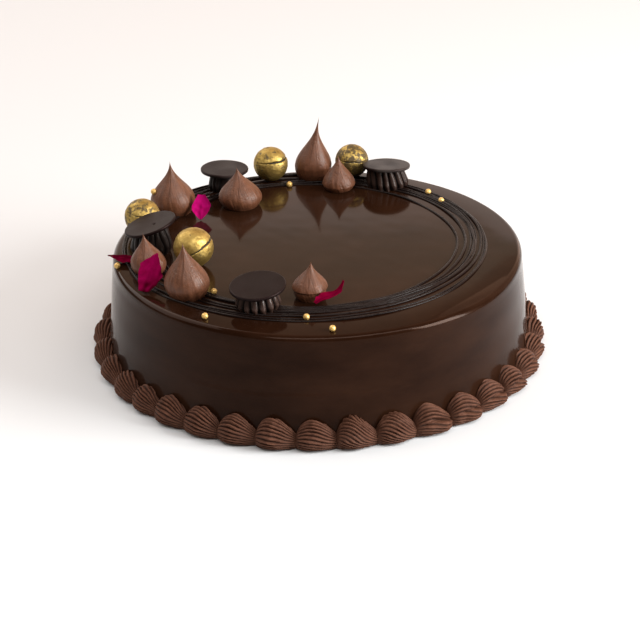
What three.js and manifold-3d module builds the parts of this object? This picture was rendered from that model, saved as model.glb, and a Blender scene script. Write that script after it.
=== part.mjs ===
// A round chocolate celebration cake: a glossy dark glazed drum with a ring of fine chocolate threads on
// its top, a piped shell border round its foot, and a crescent of toppings (piped drops, gold-leafed
// balls, chocolate discs on fluted rosettes, flower petals, gold sugar pearls).
// Millimetres, +Z up. The origin is the centre of the cake's underside, and -Y is the front.

import * as THREE from 'three';
import { mergeVertices } from 'three/addons/utils/BufferGeometryUtils.js';
import { ParametricGeometry } from 'three/addons/geometries/ParametricGeometry.js';
import Module from 'manifold-3d';

const wasm = await Module();
wasm.setup();

// Cake drum
const TOP_Z = 66;
const RIM_RADIUS = 123.2;
const FOOT_RADIUS = 129;
const RIM_ROUND = 5;
const RIM_STEPS = 2;
const DRUM_FACETS = 90;

// Chocolate threads: loose rings about a common centre that lies behind the middle of the cake
const RING_CENTRE = { x: -5.6, y: 7.4 };
const RING_RADIUS = 101;
const THREADS = 7;
const THREAD_WIDTH = 1.6;
const THREAD_HEIGHT = 1.1;
const THREAD_ROOT = 0.6;
const THREAD_FACETS = 40;
const THREAD_SPREAD = 8.6;
const THREAD_DRIFT = 2.2;
const THREAD_RIPPLE = 1.3;
const RING_PINCH = { depth: 0.3, power: 4 };
const THREAD_CLEARANCE = 0.6;
const FOOT_ROOM_HEIGHT = 4;

// Gold sugar pearls that lie on the glaze, and the one that sticks to the first drop
const PEARL_RADIUS = 1.9;
const PEARL_SINK = 0.5;
const PEARL_DETAIL = 1;
const PEARLS = [
  { x: -118.6, y: -25.4 },
  { x: -59.8, y: -65.5 },
  { x: -63.6, y: -96.9 },
  { x: -6.7, y: -100.9 },
  { x: 7.7, y: -115.5 },
  { x: -17.2, y: 94.2 },
  { x: 71.4, y: 77.3 },
  { x: 78.8, y: 62.9 },
];
const DROP_PEARL = { angle: 195, height: 14.6 };

// Shell border, piped anticlockwise: each shell starts in a round head and ends in a low tail
const SHELLS = 36;
const FIRST_SHELL_ANGLE = -90.7;
const SHELL_HEIGHT = 17;
const SHELL_DEPTH = 10.2;
const SHELL_AXIS_Z = 7;
const SHELL_AXIS_OUT = 1.6;
const SHELL_AXIS_SINK = 0.45;
const SHELL_ARC = { lowest: -75, highest: 125 };
const SHELL_GAP = 0.5;
const SHELL_RIDGES = 8;
const SHELL_RIDGE_DEPTH = 0.07;
const SHELL_STATIONS = [0, 0.02, 0.22, 0.56, 0.98, 1];
const SHELL_CROWN = 0.36;
const SHELL_BLUNTNESS = 0.16;
const SHELL_FALL = 0.7;
const SHELL_FALL_POWER = 1.2;
const SHELL_UNEVENNESS = 0.05;
const CROWDING = { angle: -155, width: 22, shift: 2.1 };
const CLOSING_SHELL = { index: 3, swell: 1.1 };

// Piped drops that end in a drawn-out tip. The lean is the tip's drift in X, and the bulge is the share of the
// height at which the drop is widest.
const DROP_FACETS = 12;
const DROP_FOOT = 0.8;
const DROP_SHARES = [0, 0.1, 0.2, 0.4, 0.56, 0.72, 0.88, 1];
const DROPS = [
  { x: -89.8, y: 57.4, width: 27.6, height: 33.3, lean: -1, bulge: 0.22, sharpness: 0.95 },
  { x: -47.9, y: 65.1, width: 27, height: 25.5, lean: -1.7, bulge: 0.22, sharpness: 0.78 },
  { x: -1.9, y: 109.6, width: 24.2, height: 41, lean: 4.4, bulge: 0.18, sharpness: 1.4 },
  { x: 14.6, y: 89.5, width: 21.6, height: 22.5, lean: -0.1, bulge: 0.14, sharpness: 0.95 },
  { x: -99.2, y: -33, width: 21.4, height: 24.4, lean: -2.4, bulge: 0.22, sharpness: 0.9 },
  { x: -74.8, y: -65.7, width: 26.2, height: 32.4, lean: -1.6, bulge: 0.22, sharpness: 0.8 },
  { x: -4.6, y: -72.3, width: 21.2, height: 22.4, lean: 0.9, bulge: 0.24, sharpness: 1.05 },
];

// Gold-leafed chocolate balls, each with a small flat spot under it
const BALL_FACETS = 14;
const BALL_STEPS = 4;
const BALL_SPOT = 3;
const BALL_FOOT_SHARE = 2 / 3;
const BALLS = [
  { x: -106.5, y: 23.8, diameter: 22.4 },
  { x: -72.9, y: -25.9, diameter: 24 },
  { x: -29.2, y: 106.4, diameter: 22.6 },
  { x: 23.5, y: 109.9, diameter: 22 },
];

// Thin chocolate discs: the middle of each at a height over the glaze, tipped to the right end and the front,
// with the foot radius of the rosette under it and how far that stands to the right of the middle
const DISC_THICKNESS = 2;
const DISC_FACETS = 28;
const DISCS = [
  { x: -58.7, y: 93.7, height: 13, diameter: 30.6, rightUp: -1, frontDown: -1.5, under: 11, aside: 0 },
  { x: -99.7, y: -3.5, height: 17.3, diameter: 32, rightUp: 16, frontDown: 0, under: 12.6, aside: 0 },
  { x: -34, y: -83.3, height: 12.8, diameter: 32.4, rightUp: 4, frontDown: 5, under: 12.8, aside: 0 },
  { x: 45.5, y: 95.2, height: 12.8, diameter: 30.4, rightUp: -1, frontDown: -6.9, under: 10.4, aside: 4 },
];
const PIECE_GAP = 0.3;

// Fluted rosettes under the discs: widest just over the foot, which is tucked in, and narrower towards the disc
const ROSETTE_RIBS = 12;
const ROSETTE_RIB_DEPTH = 0.1;
const ROSETTE_LEVELS = 4;
const ROSETTE_TUCK = 0.88;
const ROSETTE_NECK = 0.66;
const ROSETTE_NECK_POWER = 1.5;

// Petals: thin curled leaves. Each has the two ends of its midrib, with their height over the glaze, and its
// full width. The left and the right side are broadest at their own share of the midrib, and the breadth at the
// foot and at the tip is a share of that. The arch bows the midrib, and its skew moves the bow to the tip.
const PETAL_THICKNESS = 0.7;
const PETAL_ROWS = 6;
const PETAL_COLUMNS = 4;
const PETALS = [
  {
    from: [-72.1, 41.3, 0.6], to: [-71.5, 50.7, 13.4], width: 12.2, broadest: [0.52, 0.62],
    footShare: 0.12, tipShare: 0.36, arch: -1.5, skew: 1, curl: 2.2,
  },
  {
    from: [-105.4, -22.8, 3.2], to: [-124.8, -15.8, 3.1], width: 10, broadest: [0.5, 0.6],
    footShare: 0.6, tipShare: 0.08, arch: 0.4, skew: 1, curl: -1.2,
  },
  {
    from: [-100.4, -63.3, 0.9], to: [-92.6, -48.9, 18.7], width: 15.4, broadest: [0.66, 0.46],
    footShare: 0.4, tipShare: 0.06, arch: -2, skew: 1, curl: 2.6,
  },
  {
    from: [-1.6, -88.1, 3.4], to: [14.7, -80.2, 13.5], width: 8.6, broadest: [0.4, 0.4],
    footShare: 0.35, tipShare: 0.22, arch: -4, skew: 1.8, curl: 1.8,
  },
];

const COLOURS = {
  glaze: { color: 0x33211a, roughness: 0.12, metalness: 0 },
  icing: { color: 0x4f3429, roughness: 0.65, metalness: 0 },
  drop: { color: 0x7a5343, roughness: 0.5, metalness: 0 },
  gold: { color: 0xc19a44, roughness: 0.3, metalness: 1 },
  disc: { color: 0x352927, roughness: 0.4, metalness: 0 },
  rosette: { color: 0x1f1513, roughness: 0.3, metalness: 0 },
  petal: { color: 0xa20c5a, roughness: 0.7, metalness: 0 },
};

const TURN = 2 * Math.PI;
const GOLDEN = 0.618034;
const MERGE_DISTANCE = 1e-3;
const { degToRad: radians, lerp } = THREE.MathUtils;

// Evenly scattered values from -1 to 1, one for each whole number
const scatter = (index, start) => 2 * ((index * GOLDEN + start) % 1) - 1;

// Radius of the drum's wall at a height
const wallRadius = (z) => lerp(FOOT_RADIUS, RIM_RADIUS, z / (TOP_Z - RIM_ROUND));

// Height of the glazed surface at a distance from the middle: flat, then the rounded rim
function surfaceHeight(distance) {
  const past = Math.max(0, distance - (RIM_RADIUS - RIM_ROUND));
  return TOP_Z - RIM_ROUND + Math.sqrt(RIM_ROUND ** 2 - past ** 2);
}

// One closed skin: shared corners merged and collapsed triangles left out
function closedSkin(geometry) {
  geometry.deleteAttribute('normal');
  geometry.deleteAttribute('uv');
  const skin = mergeVertices(geometry, MERGE_DISTANCE);
  const index = skin.index.array;
  const kept = [];
  for (let i = 0; i < index.length; i += 3) {
    const [a, b, c] = index.slice(i, i + 3);
    if (a !== b && b !== c && c !== a) {
      kept.push(a, b, c);
    }
  }
  skin.setIndex(kept);
  return skin;
}

function toSolid(geometry) {
  const skin = closedSkin(geometry);
  return new wasm.Manifold(new wasm.Mesh({
    numProp: 3,
    vertProperties: skin.attributes.position.array,
    triVerts: new Uint32Array(skin.index.array),
  }));
}

function toGeometry(solid) {
  const mesh = solid.getMesh();
  const geometry = new THREE.BufferGeometry();
  geometry.setAttribute('position', new THREE.BufferAttribute(mesh.vertProperties, 3));
  geometry.setIndex(new THREE.BufferAttribute(mesh.triVerts, 1));
  return geometry;
}

// A profile of (radius, height) points turned about +Z
function turned(profile, facets) {
  return new THREE.LatheGeometry(profile, facets).rotateX(Math.PI / 2);
}

// Calls change(point) on every corner of a geometry
function reshape(geometry, change) {
  const position = geometry.attributes.position;
  const point = new THREE.Vector3();
  for (let i = 0; i < position.count; i += 1) {
    point.fromBufferAttribute(position, i);
    change(point);
    position.setXYZ(i, point.x, point.y, point.z);
  }
  return geometry;
}

// Drum: flat underside, wall that flares to its foot, rounded rim, flat top
function drumGeometry() {
  const outline = new THREE.Path();
  outline.moveTo(0, 0);
  outline.lineTo(FOOT_RADIUS, 0);
  outline.lineTo(RIM_RADIUS, TOP_Z - RIM_ROUND);
  outline.absarc(RIM_RADIUS - RIM_ROUND, TOP_Z - RIM_ROUND, RIM_ROUND, 0, Math.PI / 2);
  outline.lineTo(0, TOP_Z);
  return turned(outline.getPoints(RIM_STEPS), DRUM_FACETS);
}

// Radius of one thread about the ring's centre: its own share of the band, a drift to one side and a
// ripple, with the whole band pinched at the right
function threadRadius(thread, angle) {
  const share = THREAD_SPREAD * scatter(thread, 0.3);
  const drift = THREAD_DRIFT * Math.cos(angle - TURN * GOLDEN * thread);
  const ripple = THREAD_RIPPLE * Math.cos(2 * angle - TURN * GOLDEN ** 2 * thread * 2);
  const pinch = 1 - RING_PINCH.depth * Math.max(0, Math.cos(angle)) ** RING_PINCH.power;
  return RING_RADIUS + pinch * (share + drift + ripple);
}

// A thread's section: a low roof whose root is sunk in the glaze
function threadGeometry(thread) {
  const half = THREAD_WIDTH / 2;
  const section = new THREE.Shape();
  section.moveTo(RING_RADIUS - half, -THREAD_ROOT);
  section.lineTo(RING_RADIUS + half, -THREAD_ROOT);
  section.lineTo(RING_RADIUS, THREAD_HEIGHT);
  section.closePath();
  return reshape(turned(section.getPoints(), THREAD_FACETS), (point) => {
    const angle = Math.atan2(point.y, point.x);
    const radius = Math.hypot(point.x, point.y) - RING_RADIUS + threadRadius(thread, angle);
    const x = RING_CENTRE.x + radius * Math.cos(angle);
    const y = RING_CENTRE.y + radius * Math.sin(angle);
    point.set(x, y, point.z + surfaceHeight(Math.hypot(x, y)));
  });
}

// Room that a standing topping takes from the threads
function footGeometry({ x, y }, radius) {
  return new THREE.CylinderGeometry(radius, radius, FOOT_ROOM_HEIGHT, DISC_FACETS)
    .rotateX(Math.PI / 2)
    .translate(x, y, TOP_Z);
}

function pearlGeometry(x, y, z) {
  return new THREE.OctahedronGeometry(PEARL_RADIUS, PEARL_DETAIL).translate(x, y, z);
}

function bodyGeometry() {
  const ballFoot = ({ diameter }) => (diameter / 2) * BALL_FOOT_SHARE;
  const rosetteFoot = ({ under }) => under * (1 + ROSETTE_RIB_DEPTH);
  const feet = [
    ...DROPS.map((drop) => footGeometry(drop, drop.width / 2 + THREAD_CLEARANCE)),
    ...BALLS.map((ball) => footGeometry(ball, ballFoot(ball) + THREAD_CLEARANCE)),
    ...DISCS.map((disc) => {
      return footGeometry({ x: disc.x + disc.aside, y: disc.y }, rosetteFoot(disc) + THREAD_CLEARANCE);
    }),
  ].map(toSolid);
  const pearls = PEARLS.map(({ x, y }) => {
    const z = surfaceHeight(Math.hypot(x, y)) + PEARL_RADIUS - PEARL_SINK;
    return toSolid(pearlGeometry(x, y, z));
  });
  let body = toSolid(drumGeometry());
  for (let thread = 0; thread < THREADS; thread += 1) {
    const strand = feet.reduce((rest, foot) => rest.subtract(foot), toSolid(threadGeometry(thread)));
    body = body.add(strand);
  }
  return toGeometry(pearls.reduce((joined, pearl) => joined.add(pearl), body));
}

// Fullness of a shell along its length, 0 to 1: a blunt round head, then a long fall to the tail
function shellFullness(along) {
  const head = lerp(SHELL_BLUNTNESS, 1, Math.min(1, along / SHELL_CROWN));
  const tail = Math.max(0, (along - SHELL_CROWN) / (1 - SHELL_CROWN));
  return Math.sqrt(1 - (1 - head) ** 2) * (1 - SHELL_FALL * tail ** SHELL_FALL_POWER);
}

// A shell: ridges fan out from the tail over an egg-shaped section, which leans on the wall
function shellGeometry(index) {
  const pitch = 360 / SHELLS;
  const nominal = FIRST_SHELL_ANGLE + index * pitch;
  const crowding = (angle) => {
    const off = THREE.MathUtils.euclideanModulo(angle - CROWDING.angle + 180, 360) - 180;
    return angle + CROWDING.shift * Math.exp(-((off / CROWDING.width) ** 2));
  };
  const gapAngle = THREE.MathUtils.radToDeg(SHELL_GAP / FOOT_RADIUS);
  const start = crowding(nominal - pitch / 2);
  const end = crowding(nominal + pitch / 2) - gapAngle;
  const closing = index === CLOSING_SHELL.index ? CLOSING_SHELL.swell : 1;
  const size = closing * (1 + SHELL_UNEVENNESS * scatter(index, 0.15));
  const corners = 2 * SHELL_RIDGES + 1;
  const surface = (u, v, target) => {
    const corner = Math.round((1 - u) * corners) % corners;
    const along = SHELL_STATIONS[Math.round(v * (SHELL_STATIONS.length - 1))];
    const angle = radians(lerp(start, end, along));
    const fullness = shellFullness(along);
    const atEnd = along === 0 || along === 1;
    const axisZ = SHELL_AXIS_Z * (1 - SHELL_AXIS_SINK * (1 - fullness));
    let out = PIECE_GAP;
    let z = 0;
    if (atEnd) {
      out = SHELL_AXIS_OUT + PIECE_GAP;
      z = axisZ;
    } else if (corner < corners - 1) {
      const turn = radians(lerp(SHELL_ARC.lowest, SHELL_ARC.highest, corner / (corners - 2)));
      const ridge = 1 + (corner % 2 ? SHELL_RIDGE_DEPTH : -SHELL_RIDGE_DEPTH);
      const swell = fullness * size * ridge;
      const rise = turn < 0 ? axisZ : (SHELL_HEIGHT - SHELL_AXIS_Z) * swell;
      out = SHELL_AXIS_OUT + (SHELL_DEPTH - SHELL_AXIS_OUT) * swell * Math.cos(turn);
      z = axisZ + rise * Math.sin(turn);
    }
    const radius = wallRadius(z) + Math.max(PIECE_GAP, out);
    target.set(radius * Math.cos(angle), radius * Math.sin(angle), z);
  };
  return closedSkin(new ParametricGeometry(surface, corners, SHELL_STATIONS.length - 1));
}

// A drop: a foot a little narrower than its bulge, then a smooth fall to the drawn-out tip
function dropRadius({ width, bulge, sharpness }, share) {
  if (share < bulge) {
    const swell = Math.sin((Math.PI / 2) * (share / bulge));
    return (width / 2) * lerp(DROP_FOOT, 1, swell);
  }
  const rise = (share - bulge) / (1 - bulge);
  return (width / 2) * (0.5 + 0.5 * Math.cos(Math.PI * rise)) ** sharpness;
}

function dropGeometry(drop) {
  const profile = DROP_SHARES.map((share) => {
    return new THREE.Vector2(dropRadius(drop, share), share * drop.height);
  });
  profile.unshift(new THREE.Vector2(0, 0));
  profile.at(-1).x = 0;
  const leaning = reshape(turned(profile, DROP_FACETS), (point) => {
    point.x += drop.lean * (point.z / drop.height) ** 2;
  });
  return leaning.translate(drop.x, drop.y, TOP_Z);
}

// The first drop carries a pearl on its flank
function dropWithPearl(drop) {
  const angle = radians(DROP_PEARL.angle);
  const share = DROP_PEARL.height / drop.height;
  const reach = dropRadius(drop, share) + PEARL_RADIUS - 2 * PEARL_SINK;
  const x = drop.x + drop.lean * share ** 2 + reach * Math.cos(angle);
  const pearl = pearlGeometry(x, drop.y + reach * Math.sin(angle), TOP_Z + DROP_PEARL.height);
  return toGeometry(toSolid(dropGeometry(drop)).add(toSolid(pearl)));
}

function ballGeometry({ x, y, diameter }) {
  const radius = diameter / 2;
  const spotAngle = Math.asin(BALL_SPOT / radius);
  const lift = radius * Math.cos(spotAngle);
  const outline = new THREE.Path();
  outline.moveTo(0, 0);
  outline.lineTo(BALL_SPOT, 0);
  outline.absarc(0, lift, radius, spotAngle - Math.PI / 2, Math.PI / 2);
  return turned(outline.getPoints(BALL_STEPS), BALL_FACETS).translate(x, y, TOP_Z);
}

function discGeometry({ x, y, height, diameter, rightUp, frontDown }) {
  return new THREE.CylinderGeometry(diameter / 2, diameter / 2, DISC_THICKNESS, DISC_FACETS)
    .rotateX(Math.PI / 2 + radians(frontDown))
    .rotateY(radians(-rightUp))
    .translate(x, y, TOP_Z + height);
}

// Height over the glaze of the underside of a tipped disc
function discUnderside({ height, rightUp, frontDown }, dx, dy) {
  const slope = dx * Math.tan(radians(rightUp)) + dy * Math.tan(radians(frontDown));
  const thickness = DISC_THICKNESS / 2 / (Math.cos(radians(rightUp)) * Math.cos(radians(frontDown)));
  return height + slope - thickness;
}

// A rosette: a fluted dome that reaches up to its disc's underside
function rosetteGeometry(disc) {
  const around = 2 * ROSETTE_RIBS;
  const blank = new THREE.CylinderGeometry(1, 1, 1, around, ROSETTE_LEVELS).rotateX(Math.PI / 2);
  return reshape(blank, (point) => {
    const level = point.z + 0.5;
    const angle = Math.atan2(point.y, point.x);
    const rib = 1 + ROSETTE_RIB_DEPTH * Math.cos(ROSETTE_RIBS * angle);
    const tuck = lerp(ROSETTE_TUCK, 1, Math.min(1, level * ROSETTE_LEVELS));
    const neck = lerp(1, ROSETTE_NECK, level ** ROSETTE_NECK_POWER);
    const radius = Math.hypot(point.x, point.y) * disc.under * rib * tuck * neck;
    const dx = disc.aside + radius * Math.cos(angle);
    const dy = radius * Math.sin(angle);
    const rise = level * (discUnderside(disc, dx, dy) - PIECE_GAP);
    point.set(disc.x + dx, disc.y + dy, TOP_Z + rise);
  });
}

// Breadth of one side of a petal along its midrib, as a share of its largest
function petalBreadth({ footShare, tipShare }, broadest, along) {
  if (along < broadest) {
    return lerp(footShare, 1, Math.sin((Math.PI / 2) * (along / broadest)));
  }
  return lerp(1, tipShare, (along - broadest) / (1 - broadest));
}

// A petal: a pointed leaf along its midrib, arched lengthwise and curled across, with two like faces
function petalGeometry(petal) {
  const { from, to, width, arch, skew, curl } = petal;
  const foot = new THREE.Vector3(...from);
  const tip = new THREE.Vector3(...to);
  const along = tip.clone().sub(foot).normalize();
  const across = new THREE.Vector3(-along.y, along.x, 0).normalize();
  const outward = along.clone().cross(across);
  const corners = [];
  for (const side of [0.5, -0.5]) {
    for (let row = 0; row <= PETAL_ROWS; row += 1) {
      for (let column = 0; column <= PETAL_COLUMNS; column += 1) {
        const v = row / PETAL_ROWS;
        const u = (2 * column) / PETAL_COLUMNS - 1;
        const breadth = petalBreadth(petal, petal.broadest[u > 0 ? 0 : 1], v);
        const lift = arch * Math.sin(Math.PI * v ** skew) + curl * breadth * u * u;
        corners.push(foot.clone().lerp(tip, v)
          .addScaledVector(across, (u * breadth * width) / 2)
          .addScaledVector(outward, lift + side * PETAL_THICKNESS)
          .add(new THREE.Vector3(0, 0, TOP_Z)));
      }
    }
  }
  const perRow = PETAL_COLUMNS + 1;
  const perFace = perRow * (PETAL_ROWS + 1);
  const triangles = [];
  const rim = [];
  for (let row = 0; row < PETAL_ROWS; row += 1) {
    for (let column = 0; column < PETAL_COLUMNS; column += 1) {
      const a = row * perRow + column;
      const [b, c, d] = [a + perRow, a + perRow + 1, a + 1];
      triangles.push(a, c, d, a, b, c);
      triangles.push(...[a, d, c, a, c, b].map((corner) => corner + perFace));
    }
  }
  for (let column = 0; column < PETAL_COLUMNS; column += 1) {
    rim.push(column);
  }
  for (let row = 0; row < PETAL_ROWS; row += 1) {
    rim.push(row * perRow + PETAL_COLUMNS);
  }
  for (let column = PETAL_COLUMNS; column > 0; column -= 1) {
    rim.push(PETAL_ROWS * perRow + column);
  }
  for (let row = PETAL_ROWS; row > 0; row -= 1) {
    rim.push(row * perRow);
  }
  rim.forEach((a, i) => {
    const b = rim[(i + 1) % rim.length];
    triangles.push(a, b, b + perFace, a, b + perFace, a + perFace);
  });
  const geometry = new THREE.BufferGeometry().setFromPoints(corners);
  geometry.setIndex(triangles);
  return geometry;
}

const cake = new THREE.Group();

function addPiece(name, geometry, finish) {
  const mesh = new THREE.Mesh(geometry, new THREE.MeshStandardMaterial(COLOURS[finish]));
  mesh.name = name;
  cake.add(mesh);
}

addPiece('cake_body', bodyGeometry(), 'glaze');
for (let index = 0; index < SHELLS; index += 1) {
  addPiece(`shell_${String(index + 1).padStart(2, '0')}`, shellGeometry(index), 'icing');
}
DROPS.forEach((drop, i) => {
  addPiece(`drop_${i + 1}`, i === 0 ? dropWithPearl(drop) : dropGeometry(drop), 'drop');
});
BALLS.forEach((ball, i) => addPiece(`gold_ball_${i + 1}`, ballGeometry(ball), 'gold'));
DISCS.forEach((disc, i) => {
  addPiece(`disc_${i + 1}`, discGeometry(disc), 'disc');
  addPiece(`rosette_${i + 1}`, rosetteGeometry(disc), 'rosette');
});
PETALS.forEach((petal, i) => addPiece(`petal_${i + 1}`, petalGeometry(petal), 'petal'));

export default cake;
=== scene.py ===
"""Looks of a round chocolate cake: a dark mirror glaze with a ring of chocolate threads on its top, a piped
shell border round its foot, and a crescent of piped drops, gold-leafed balls, discs on fluted rosettes,
petals and gold sugar pearls.

Lengths are in millimetres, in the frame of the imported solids, and become metres as each mesh is made.
Angles are in degrees, anticlockwise from +X, unless a comment says otherwise.
"""

import math

import bpy
import numpy as np
from mathutils import Matrix, Vector


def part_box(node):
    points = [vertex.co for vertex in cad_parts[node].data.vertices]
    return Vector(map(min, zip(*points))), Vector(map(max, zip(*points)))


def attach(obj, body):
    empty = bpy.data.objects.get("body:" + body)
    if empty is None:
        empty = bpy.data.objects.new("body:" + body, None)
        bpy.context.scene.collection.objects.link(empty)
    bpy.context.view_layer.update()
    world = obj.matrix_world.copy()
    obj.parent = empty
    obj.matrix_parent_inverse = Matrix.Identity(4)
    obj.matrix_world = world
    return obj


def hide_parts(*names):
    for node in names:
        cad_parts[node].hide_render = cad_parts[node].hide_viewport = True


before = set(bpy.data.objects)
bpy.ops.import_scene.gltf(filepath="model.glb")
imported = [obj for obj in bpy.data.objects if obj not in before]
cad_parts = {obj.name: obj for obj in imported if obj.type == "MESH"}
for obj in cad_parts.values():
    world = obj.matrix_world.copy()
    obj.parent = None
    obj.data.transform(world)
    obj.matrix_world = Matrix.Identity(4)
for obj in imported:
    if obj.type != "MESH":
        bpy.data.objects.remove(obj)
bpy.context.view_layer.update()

MM = 0.001
TURN = 2 * math.pi
GOLDEN = 0.618034

# Camera: a long lens, looking along +Y and down on the cake
CAMERA_LENS = 112.5
CAMERA_SENSOR = 36
CAMERA_ELEVATION = 26.02
CAMERA_ROLL = -1.1
CAMERA_AIM = (0.89, 0, 19.1)
CAMERA_DISTANCE = 1227.9

# Lights and floor, in metres and watts. A light has an azimuth, an elevation, a distance, a width and
# height, a power and a colour.
LIGHTS = {
    "key": (-20, 22, 1.4, (0.7, 0.75), 35, (1.0, 0.96, 0.92)),
    "front_high": (-72, 56, 3.0, (3.8, 0.9), 66, (1.0, 0.95, 0.91)),
    "back_left": (152, 42, 2.9, (3.4, 2.2), 56, (1.0, 0.95, 0.91)),
    "horizon": (88, 4, 2.6, (4.4, 0.6), 7, (1.0, 0.95, 0.92)),
    "panel_side": (44, 24, 2.6, (2.2, 2.0), 12, (1.0, 0.6, 0.4)),
    "panel_top": (90, 62, 2.6, (3.4, 1.5), 12, (1.0, 0.6, 0.4)),
    "panel_low": (90, 15.7, 2.6, (3.4, 0.7), 6.8, (1.0, 0.83, 0.74)),
    "panel_middle": (90, 24.7, 2.6, (3.4, 0.118), 0.61, (1.0, 0.78, 0.54)),
    "panel_high": (90, 33.5, 2.6, (3.4, 0.69), 2.5, (1.0, 0.66, 0.42)),
}
LIGHT_AIM = 0.06
SURROUND = {"colour": (1.0, 0.76, 0.6, 1), "strength": 0.18}
FLOOR = {"reach": 6.0, "drop": 0.0002, "colour": (0.64, 0.68, 0.715, 1)}

# Random reliefs: height or share, length of the waves and first seed. The lengths are in millimetres, or in
# the units of the circle, ball or grid that a relief is drawn on.
RELIEFS = {
    "glaze_runs": (0.10, 1.0, 11),
    "top_ripple": (0.004, 15.0, 12),
    "thread_wobble": (0.45, 0.7, 40),
    "thread_swell": (0.1, 0.4, 60),
    "thread_lift": (0.35, 0.5, 80),
    "pearl_skin": (0.05, 0.9, 0),
    "shell_sway": (0.3, 0.8, 400),
    "shell_strength": (0.3, 0.4, 450),
    "shell_lumps": (0.3, 8.0, 500),
    "shell_crumbs": (0.1, 2.4, 600),
    "drop_fine_streaks": (0.7, 0.13, 720),
    "drop_broad_streaks": (0.4, 0.4, 730),
    "drop_lopsidedness": (0.5, 1.6, 740),
    "seam_wander": (0.18, 0.5, 800),
    "seam_nicks": (0.1, 0.16, 820),
    "seam_gaps": (1.0, 0.9, 840),
    "leaf_folds": (0.05, 0.5, 860),
    "leaf_wrinkles": (0.04, 0.17, 880),
    "disc_dish": (0.1, 1.4, 900),
    "disc_clouds": (1.0, 1.1, 910),
    "rib_stray": (1.0, 1.2, 920),
    "rosette_lumps": (0.2, 0.7, 930),
    "petal_ripple": (0.35, 0.6, 950),
    "petal_edge": (0.03, 0.35, 970),
    "petal_shade_patches": (0.2, 0.5, 990),
}
RELIEF_WAVES = 14
RELIEF_LENGTHS = (0.7, 1.4)
SHELL_SEED = 300
DROP_SEED = 700

# Glazed drum. The foot's edge is given by insets and heights. The top falls to its rim, and slumps
# further at the right front. The glaze pools along a wandering line low on the front of the wall.
UNDERSIDE_RADII = (3.0, 70.0, 124.0)
FOOT_EDGE = ((0.6, 0.0), (0.1, 0.12))
WALL_FOOT = 0.6
RIM_RADIUS = 123.2
RIM_ROUND = 3.4
RIM_FALL = {"depth": 0.5, "from": 106.0}
RIM_SLUMP = {"depth": 2.4, "from": 109.0, "azimuth": -40.0, "width": 20.0, "below_top": (18.0, 4.0)}
DRUM_COLUMNS = 600
DRUM_WALL_ROWS = 56
DRUM_RIM_ROWS = 14
DRUM_TOP_ROWS = 60
POOLING = {
    "height": 30.0, "depth": 0.3, "softness": 0.45,
    "from": -128.0, "to": -62.0, "fade": 8.0, "wander": (1.2, 0.5),
}
GLAZE_RUNS = {"length": 90.0, "height": 16.0, "above_foot": (0.5, 6.0), "below_top": 12.0}
TOP_RIPPLE = {"below_top": 1.0, "from_middle": (2.0, 12.0)}
MIRROR_BELOW_TOP = (9.0, 0.8)

# Chocolate threads: loose rings about a common centre that lies behind the middle of the cake
RING_CENTRE = (-5.6, 7.4)
RING_RADIUS = 101.0
RING_PINCH = {"depth": 0.1, "power": 4}
THREADS = 10
STOUT_THREADS = 7
THREAD_WIDTHS = (1.6, 1.1)
THREAD_HEIGHTS = (1.4, 1.05)
THREAD_LIFT = 0.45
THREAD_SPREAD = 10.6
THREAD_SCATTER = 0.3
THREAD_DRIFT = 2.6
THREAD_RIPPLE = 1.3
THREAD_STATIONS = 720
THREAD_SIDES = 10

# Gold sugar pearls: places on the glaze, and the one that sticks to the first drop
PEARL_RADIUS = 1.9
PEARL_SINK = 0.5
PEARL_ROWS = 18
PEARL_COLUMNS = 28
PEARLS = (
    (-118.6, -25.4),
    (-59.8, -65.5),
    (-63.6, -96.9),
    (-6.7, -100.9),
    (7.7, -115.5),
    (-17.2, 94.2),
    (71.4, 77.3),
    (78.8, 62.9),
)
DROP_PEARL = {"angle": 195.0, "height": 14.6, "seed": 9}

# Shell border. Shares run along a shell from its head to its tail, and turns go about its axis from
# straight outwards. The shells at the right, and the last one piped, have a second lobe low on their
# outer side. On toothed shells, given with their twists, the ridges end in points along the crown. The
# blend and the groove's width at a lobe's parting, and the shift of its ridges, are in radians.
SHELLS = 36
SHELL_HEIGHT = 16.7
SHELL_DEPTH = 10.2
SHELL_BURIED = 0.4
SHELL_AXIS_Z = 7.0
SHELL_AXIS_OUT = 1.6
SHELL_AXIS_SINK = 0.45
SHELL_ARC = (-75.0, 125.0)
SHELL_SECTION_POWER = 0.88
SHELL_RIDGES = {"count": 13, "depth": 0.22, "power": 0.8, "middle": 0.7, "start": (0.02, 0.14), "tail": 0.75}
SHELL_SWAY_SCALES = (0.6, 0.5)
SHELL_TWISTS = (18.0, 58.0)
SHELL_CROWN = 0.41
SHELL_CROWN_STRAY = 0.05
SHELL_BLUNTNESS = 2.0
SHELL_FALL = 0.8
SHELL_FALL_POWERS = (1.35, 2.0)
SHELL_UNEVENNESS = {"share": 0.05, "scatter": 0.15}
SMALL_SHELLS = {"azimuth": -155.0, "width": 38.0, "share": 0.1}
SHELL_OVERLAP = (0.7, 0.5)
SHELL_FIRST_STATION = 0.004
SHELL_CROWDING = 0.6
SHELL_STATIONS = 52
SHELL_CORNERS = 156
TOOTHED_SHELLS = {1: 120.0, 2: 115.0}
TEETH = {"growth": 1.3, "turns": (50.0, 85.0)}
LOBED_SHELLS = {
    "first": 3, "last": 11, "crown": 0.66, "turn": 14.0, "stray": 5.0, "blend": 0.12,
    "groove": 0.42, "groove_width": 0.18, "groove_start": (0.1, 0.5), "ridge_shift": 1.2,
}
CLOSING_SHELL = {"index": 3, "swell": 1.1}

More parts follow.
